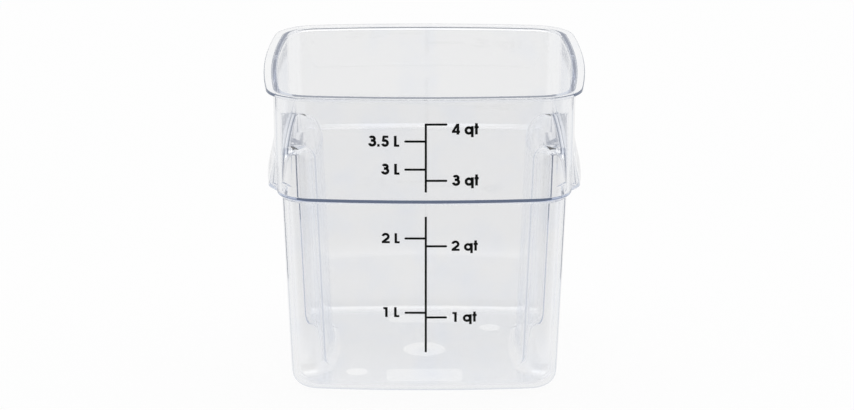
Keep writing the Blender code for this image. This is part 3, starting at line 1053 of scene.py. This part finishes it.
flat = board.add("GeometryNodeInputPosition")
across = board.add("ShaderNodeSeparateXYZ", {}, {0: flat}, output="X")
height = board.add("ShaderNodeSeparateXYZ", {}, {0: flat}, output="Y")
out = board.add("ShaderNodeSeparateXYZ", {}, {0: flat}, output="Z")
climb = (height - inputs["Low Height"]) / (inputs["High Height"] - inputs["Low Height"])
half = inputs["Low Half"] + (inputs["High Half"] - inputs["Low Half"]) * climb
bow = inputs["Bow"]
bow_radius = (half * half + bow * bow) / (bow * 2.0)
wall = board.maths("SQRT", bow_radius * bow_radius - across * across) - bow_radius + half
forward = 0.0 - (wall + out + PRINT_GAP)
bent = board.add("ShaderNodeCombineXYZ", {}, {"X": across, "Y": forward, "Z": height})
placed = board.add("GeometryNodeSetPosition", {}, {"Geometry": ribbon, "Position": bent})
real = board.add("GeometryNodeRealizeInstances", {}, {"Geometry": placed})
inked = board.add("GeometryNodeSetMaterial", {}, {"Geometry": real, "Material": inputs["Ink"]})
board.add("NodeGroupOutput", {}, {"Geometry": inked})


def print_strokes(name, strokes, wall_values):
    """Draw strokes as a curve, print them on the wall and keep the result as a plain mesh."""
    curve = bpy.data.curves.new(name + "_strokes", "CURVE")
    curve.dimensions = "3D"
    for widths, points in strokes:
        spline = curve.splines.new("POLY")
        spline.points.add(len(points) - 1)
        for point, width, (x, y) in zip(spline.points, widths, points):
            point.co = (x, y, 0, 1)
            point.radius = width
    drawn = bpy.data.objects.new(name + "_strokes", curve)
    bpy.context.scene.collection.objects.link(drawn)
    tree = drawn.modifiers.new("print", "NODES")
    tree.node_group = group
    for input_name, value in wall_values.items():
        tree[wall_inputs[input_name]] = value
    tree[ink_input] = ink
    bpy.context.view_layer.update()
    evaluated = drawn.evaluated_get(bpy.context.evaluated_depsgraph_get())
    mesh = bpy.data.meshes.new_from_object(evaluated)
    bpy.data.objects.remove(drawn, do_unlink=True)
    printed = bpy.data.objects.new(name, mesh)
    bpy.context.scene.collection.objects.link(printed)
    print(name, "faces:", len(mesh.polygons))
    return printed


upper_wall = {
    "Low Height": LEDGE_HEIGHT,
    "Low Half": COLLAR_FOOT_HALF,
    "High Height": FLANGE_UNDERSIDE,
    "High Half": COLLAR_TOP_HALF,
    "Bow": COLLAR_BOW,
}
lower_wall = {
    "Low Height": BASE_RADIUS,
    "Low Half": LOWER_FOOT_HALF,
    "High Height": LEDGE_HEIGHT,
    "High Half": LOWER_TOP_HALF,
    "Bow": LOWER_BOW,
}
prints = (
    ("print_upper", "scale_upper", upper_strokes, upper_wall),
    ("print_lower", "scale_lower", lower_strokes, lower_wall),
)
for name, node, strokes, wall_values in prints:
    printed = print_strokes(name, strokes, wall_values)
    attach(printed, "root")
    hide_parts(node)

# %% [markdown]
# The floor is plain and pale. To the camera it is white, as in the photograph, with a faint
# shadow of the tub. To the light inside the plastic it is a real studio table: bright
# behind the tub, and dim in front of it, where the room is dark. A clear wall shows what
# lies behind it, so this change from bright to dim is what draws the edges of the tub.
# Light that comes straight through the plastic always sees the bright table, so that the
# tub stays clear from every side.

# %% Floor
FLOOR_SIZE = 8.0
FLOOR_GAP = 0.0004
FLOOR_NEAR = 0.31
FLOOR_AWAY = 0.9
NEAR_END = -0.16
AWAY_START = -0.07
SHADOW_SHARE = 0.05
FLOOR_PAINT = (0.9, 0.9, 0.9, 1)
NO_REFLECTION = 0.5


def straight_through(board):
    """One for light that came through the plastic without a reflection, else nought."""
    through = board.add("ShaderNodeLightPath", output="Is Transmission Ray")
    reflections = board.add("ShaderNodeLightPath", output="Glossy Depth")
    return through * board.maths("LESS_THAN", reflections, NO_REFLECTION)


paint, board = new_material("floor_paint")
rays = board.add("ShaderNodeLightPath", output="Is Camera Ray")
place = board.add("ShaderNodeTexCoord", output="Object")
away = board.add("ShaderNodeSeparateXYZ", {}, {0: place}, output="Y")
bright = board.maths("MAXIMUM", away.rising(NEAR_END, AWAY_START), straight_through(board))
seen = FLOOR_NEAR + (FLOOR_AWAY - FLOOR_NEAR) * bright
level = seen + (1 - seen) * rays
matt = board.add("ShaderNodeBsdfDiffuse", {}, {"Color": FLOOR_PAINT})
light = board.add("ShaderNodeEmission", {}, {"Color": board.grey(level), "Strength": 1.0})
mixed = board.add("ShaderNodeMixShader", {}, {0: 1 - SHADOW_SHARE, 1: matt, 2: light})
board.add("ShaderNodeOutputMaterial", {}, {"Surface": mixed})

half = FLOOR_SIZE / 2
corners = [(-half, -half), (half, -half), (half, half), (-half, half)]
floor_mesh = bpy.data.meshes.new("floor")
floor_mesh.from_pydata([(x, y, -FLOOR_GAP) for x, y in corners], [], [(0, 1, 2, 3)])
floor = bpy.data.objects.new("floor", floor_mesh)
bpy.context.scene.collection.objects.link(floor)
floor_mesh.materials.append(paint)
floor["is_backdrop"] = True
print("floor, m:", FLOOR_SIZE)

# %% [markdown]
# The world does the same for the rest of the room: a white backdrop, a bright soft box
# overhead and a dark side in front of the tub. The camera itself sees plain white, and
# light straight through the plastic doesn't see the dark side.

# %% World
BACK_LIGHT = 0.97
TOP_LIGHT = 2.05
DARK_SIDE = 0.02
DARK_END = -0.4
BRIGHT_START = -0.1
BOX_EDGE = 0.82
BOX_FULL = 0.9

world = bpy.data.worlds.new("studio")
bpy.context.scene.world = world
sky = empty_tree(world)
place = sky.add("ShaderNodeTexCoord", output="Generated")
away = sky.add("ShaderNodeSeparateXYZ", {}, {0: place}, output="Y")
up = sky.add("ShaderNodeSeparateXYZ", {}, {0: place}, output="Z")
top = up.rising(BOX_EDGE, BOX_FULL)
back = sky.maths("MAXIMUM", away.rising(DARK_END, BRIGHT_START), straight_through(sky))
level = BACK_LIGHT + (TOP_LIGHT - BACK_LIGHT) * top
level = DARK_SIDE + (level - DARK_SIDE) * back
rays = sky.add("ShaderNodeLightPath", output="Is Camera Ray")
level = level + (1 - level) * rays
shine = sky.add("ShaderNodeBackground", {}, {"Color": sky.grey(level), "Strength": 1.0})
sky.add("ShaderNodeOutputWorld", {}, {"Surface": shine})
bpy.context.scene.view_settings.view_transform = "Standard"
print("world nodes:", len(world.node_tree.nodes))

# %% [markdown]
# Last, the box of the dressed tub is printed, to be set beside the box of the solid model
# printed at the start, to see that the fine surface has not grown.

# %% Sizes and finish
dressed_low, dressed_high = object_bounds()

dressed_size = [round(MM * (high - low), 1) for low, high in zip(dressed_low, dressed_high)]
print("dressed tub, mm:", dressed_size)
